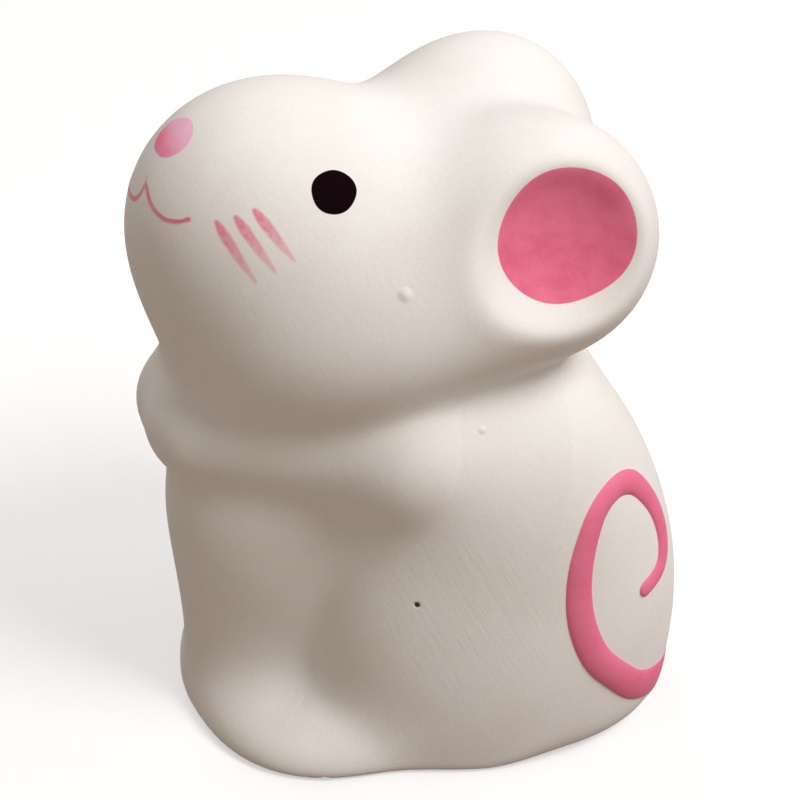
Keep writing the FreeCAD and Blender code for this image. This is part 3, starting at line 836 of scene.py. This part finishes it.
def coat_parts(shop):
    """Colour and height of the white coat: fine grain whose low points are darkened and warmed as painted
    shade, brush streaks that are stronger on the haunch, a faint warm mottle, and the coat's own small
    faults: a pinhole, painted near black as brown clay and painted shade, a blister on the cheek and a chip."""
    paint = bpy.context.scene.mouse_paint
    grain = shop.noise(shop.place(), scale=2.6, detail=3.0, rough=0.6)
    pits = shop.noise(shop.place(), scale=0.9, detail=2.0, rough=0.5).step(0.28, 0.36)
    strokes = shop.place(turn=(62, 0, 0), stretch=(1, 0.12, 2.2))
    streaks = shop.noise(strokes, scale=1.0, detail=3.0, rough=0.55)
    mottle = shop.noise(shop.place(), scale=0.12, detail=3.0, rough=0.6)
    pinhole = shop.near(PINHOLE, PINHOLE_REACH)
    brushing = STREAKS_HEIGHT + HAUNCH_STREAKS_HEIGHT * shop.near(HAUNCH_STREAKS, STREAKS_REACH)
    height = GRAIN_HEIGHT * grain + brushing * streaks + PITS_HEIGHT * pits
    height = (height + BLISTER_HEIGHT * shop.near(BLISTER, BLISTER_REACH) - PINHOLE_DEPTH * pinhole
              + CHIP_HEIGHT * shop.near(CHIP, CHIP_REACH))
    # Painted shade: the low points of the grain take part of the warmer tint; the mottle's share is a random
    # warm tone.
    tint = (mottle.step(0.35, 0.75) * MOTTLE_TINT + (1 - grain.step(0.3, 0.6)) * GRAIN_HOLLOW_SHADE).clamp()
    coat = shop.mix(tint, paint.coat, paint.coat_mottle_and_shade)
    # The pinhole is painted near black: brown clay and painted shade of the hole's inside.
    return shop.mix(pinhole.step(0.2, 0.55), coat, PINHOLE_CLAY_AND_SHADE), height


def coat_material(name):
    """The bare coat."""
    shop = Shop(name)
    colour, height = coat_parts(shop)
    return shop.finish(colour, COAT_ROUGHNESS, height, bpy.context.scene.mouse_form.grain_height)


def paint_material(name, pink, rough=0.7, shine=0.2, deep_and_shade=(0.94, 0.8, 0.86), brush=0.6):
    """Opaque brushed paint over the coat, with a slightly thinner edge. The deep_and_shade shares are what is
    left of
    each colour where the paint is darkened: where the brush laid it thickly, for the brush's own share, and
    toward a dab's lower edge as painted shade."""
    shop = Shop(name)
    coat, height = coat_parts(shop)
    cover = shop.layer("cover")
    strokes = shop.place(turn=(20, 0, 0), stretch=(1, 0.6, 1.0))
    brushed = shop.noise(strokes, scale=0.55, detail=3.0, rough=0.6)
    # Painted shade: a dab darkens toward its lower edge, and the tail toward one of its sides.
    lower = 1 - shop.layer("side").step(-1.6, 1.0)
    thick_and_shaded = (brush * brushed.step(0.3, 0.72) + (1 - brush) * lower).clamp()
    tone = shop.mix(thick_and_shaded, tuple(pink), tuple(c * share for c, share in zip(pink, deep_and_shade)))
    colour = shop.mix(cover.step(0.15, 0.6), coat, tone)
    return shop.finish(colour, rough, height, bpy.context.scene.mouse_form.grain_height, shine)


def line_material(name, pink, start, fade):
    """Thin watery paint: its density starts at a level, is mottled, and fades along the stroke."""
    shop = Shop(name)
    coat, height = coat_parts(shop)
    cover, along, side = shop.layer("cover"), shop.layer("along"), shop.layer("side")
    fine_along, fine_across = LINE_BRISTLES
    where = shop.add("ShaderNodeCombineXYZ", {}, {"X": along * fine_along, "Y": side * fine_across})
    bristles = shop.noise(where, scale=1.0, detail=3.0, rough=0.6)
    density = (start + LINE_MOTTLE * bristles.step(0.35, 0.7) - fade * along).clamp(0.0, LINE_FULL)
    colour = shop.mix(cover.step(0.05, 1.0) * density, coat, tuple(pink))
    return shop.finish(colour, LINE_ROUGHNESS, height, bpy.context.scene.mouse_form.grain_height)


# Stage: the camera's place in millimetres, its angles in degrees, and the photo's focal length in pixels

CAMERA_SPOT = (203.0, -61.6, 165.6)
CAMERA_AZIMUTH, CAMERA_ELEVATION, CAMERA_ROLL = 74.0, 32.5, 1.4
FOCAL_PIXELS, FRAME_PIXELS, SENSOR = 2660.0, 800.0, 36.0

# Floor: its colour where the camera sees it, its colour for the light it throws back, and its glow

FLOOR_HALF = 3.0
FLOOR_SEEN, FLOOR_BOUNCE, FLOOR_GLOW = (0.50, 0.50, 0.50), (0.29, 0.225, 0.18), (0.52, 0.52, 0.52)
WORLD_COLOUR, WORLD_STRENGTH = (1.0, 0.89, 0.81, 1), 0.27

# Lamps: name, place in metres, width in metres, watts and colour

LAMP_AIM = (0, 0, 0.03)
LAMPS = (("key", (0.34, 0.29, 0.61), 0.32, 3.9, (1.0, 0.99, 0.98)),
         ("far_side", (-0.4, -0.15, 0.57), 0.40, 1.1, (1.0, 0.99, 0.98)),
         ("back", (0.0, 0.60, 0.57), 0.40, 1.2, (1.0, 0.99, 0.98)),
         ("fill", (0.4, -0.6, 0.27), 0.60, 0.55, (1.0, 0.87, 0.74)))


def add_lamp(name, spot, size, power, colour):
    """A soft round lamp that points at the figure."""
    lamp = bpy.data.lights.new(name, "AREA")
    lamp.shape = "DISK"
    lamp.size = size
    lamp.energy = power
    lamp.color = colour
    holder = bpy.data.objects.new(name, lamp)
    holder.location = spot
    holder.rotation_mode = "QUATERNION"
    holder.rotation_quaternion = (Vector(LAMP_AIM) - Vector(spot)).to_track_quat("-Z", "Y")
    bpy.context.scene.collection.objects.link(holder)


class MOUSE_OT_stage(bpy.types.Operator):
    """Adds the floor, the lamps and the camera"""
    bl_idname = "clay_mouse.stage"
    bl_label = "Stage"

    def execute(self, context):
        scene = context.scene
        floor = bpy.data.meshes.new("floor")
        corners = [(x * FLOOR_HALF, y * FLOOR_HALF, 0) for x, y in ((-1, -1), (1, -1), (1, 1), (-1, 1))]
        floor.from_pydata(corners, [], [(0, 1, 2, 3)])
        ground = bpy.data.objects.new("floor", floor)
        scene.collection.objects.link(ground)
        shop = Shop("floor_paper")
        camera_ray, glossy_ray, through_ray = (shop.add("ShaderNodeLightPath", {}, {}, f"Is {kind} Ray")
                                               for kind in ("Camera", "Glossy", "Transmission"))
        seen = (camera_ray + glossy_ray + through_ray).clamp()
        shop.put(shop.shader.inputs["Base Color"], shop.mix(seen, FLOOR_BOUNCE, FLOOR_SEEN))
        shop.put(shop.shader.inputs["Emission Color"], shop.mix(seen, (0.0, 0.0, 0.0), FLOOR_GLOW))
        shop.put(shop.shader.inputs["Emission Strength"], 1.0)
        shop.put(shop.shader.inputs["Specular IOR Level"], 0.0)
        shop.put(shop.shader.inputs["Roughness"], 0.9)
        floor.materials.append(shop.material)

        world = bpy.data.worlds.new("studio")
        scene.world = world
        world.use_nodes = True
        world.node_tree.nodes["Background"].inputs["Color"].default_value = WORLD_COLOUR
        world.node_tree.nodes["Background"].inputs["Strength"].default_value = WORLD_STRENGTH

        for lamp in LAMPS:
            add_lamp(*lamp)

        camera = bpy.data.cameras.new("camera")
        camera.sensor_width = SENSOR
        camera.lens = SENSOR * FOCAL_PIXELS / FRAME_PIXELS
        camera.clip_start = 0.01
        holder = bpy.data.objects.new("camera", camera)
        scene.collection.objects.link(holder)
        az, el, roll = (math.radians(a) for a in (CAMERA_AZIMUTH, CAMERA_ELEVATION, CAMERA_ROLL))
        back = Vector((math.sin(az) * math.cos(el), -math.cos(az) * math.cos(el), math.sin(el)))
        right = Vector((math.cos(az), math.sin(az), 0))
        up = back.cross(right)
        tilted = right * math.cos(roll) + up * math.sin(roll)
        raised = up * math.cos(roll) - right * math.sin(roll)
        turn = Matrix((tilted, raised, back)).transposed().to_4x4()
        holder.matrix_world = Matrix.Translation(Vector(CAMERA_SPOT) * MM) @ turn
        scene.camera = holder
        scene.view_settings.view_transform = "Standard"
        return {"FINISHED"}


class MOUSE_PT_panel(bpy.types.Panel):
    """Sizes, colours and pieces of the clay mouse"""
    bl_label = "Clay Mouse"
    bl_idname = "MOUSE_PT_panel"
    bl_space_type = "VIEW_3D"
    bl_region_type = "UI"
    bl_category = "Clay Mouse"

    def draw(self, context):
        for group in (context.scene.mouse_form, context.scene.mouse_paint):
            for name in group.__annotations__:
                self.layout.prop(group, name)
        for operator in OPERATORS:
            self.layout.operator(operator.bl_idname)


OPERATORS = (MOUSE_OT_stage, MOUSE_OT_body, MOUSE_OT_slab, MOUSE_OT_tail, MOUSE_OT_ears, MOUSE_OT_eyes,
             MOUSE_OT_nose, MOUSE_OT_mouth, MOUSE_OT_whiskers)
CLASSES = (MouseForm, MousePaint, *OPERATORS, MOUSE_PT_panel)


def register():
    for item in CLASSES:
        bpy.utils.register_class(item)
    bpy.types.Scene.mouse_form = bpy.props.PointerProperty(type=MouseForm)
    bpy.types.Scene.mouse_paint = bpy.props.PointerProperty(type=MousePaint)


def unregister():
    del bpy.types.Scene.mouse_form
    del bpy.types.Scene.mouse_paint
    for item in reversed(CLASSES):
        bpy.utils.unregister_class(item)


def main():
    register()
    bpy.ops.clay_mouse.stage()
    bpy.ops.clay_mouse.body()
    bpy.ops.clay_mouse.slab()
    bpy.ops.clay_mouse.tail()
    bpy.ops.clay_mouse.ears()
    bpy.ops.clay_mouse.eyes()
    bpy.ops.clay_mouse.nose()
    bpy.ops.clay_mouse.mouth()
    bpy.ops.clay_mouse.whiskers()


if __name__ == "__main__":
    main()
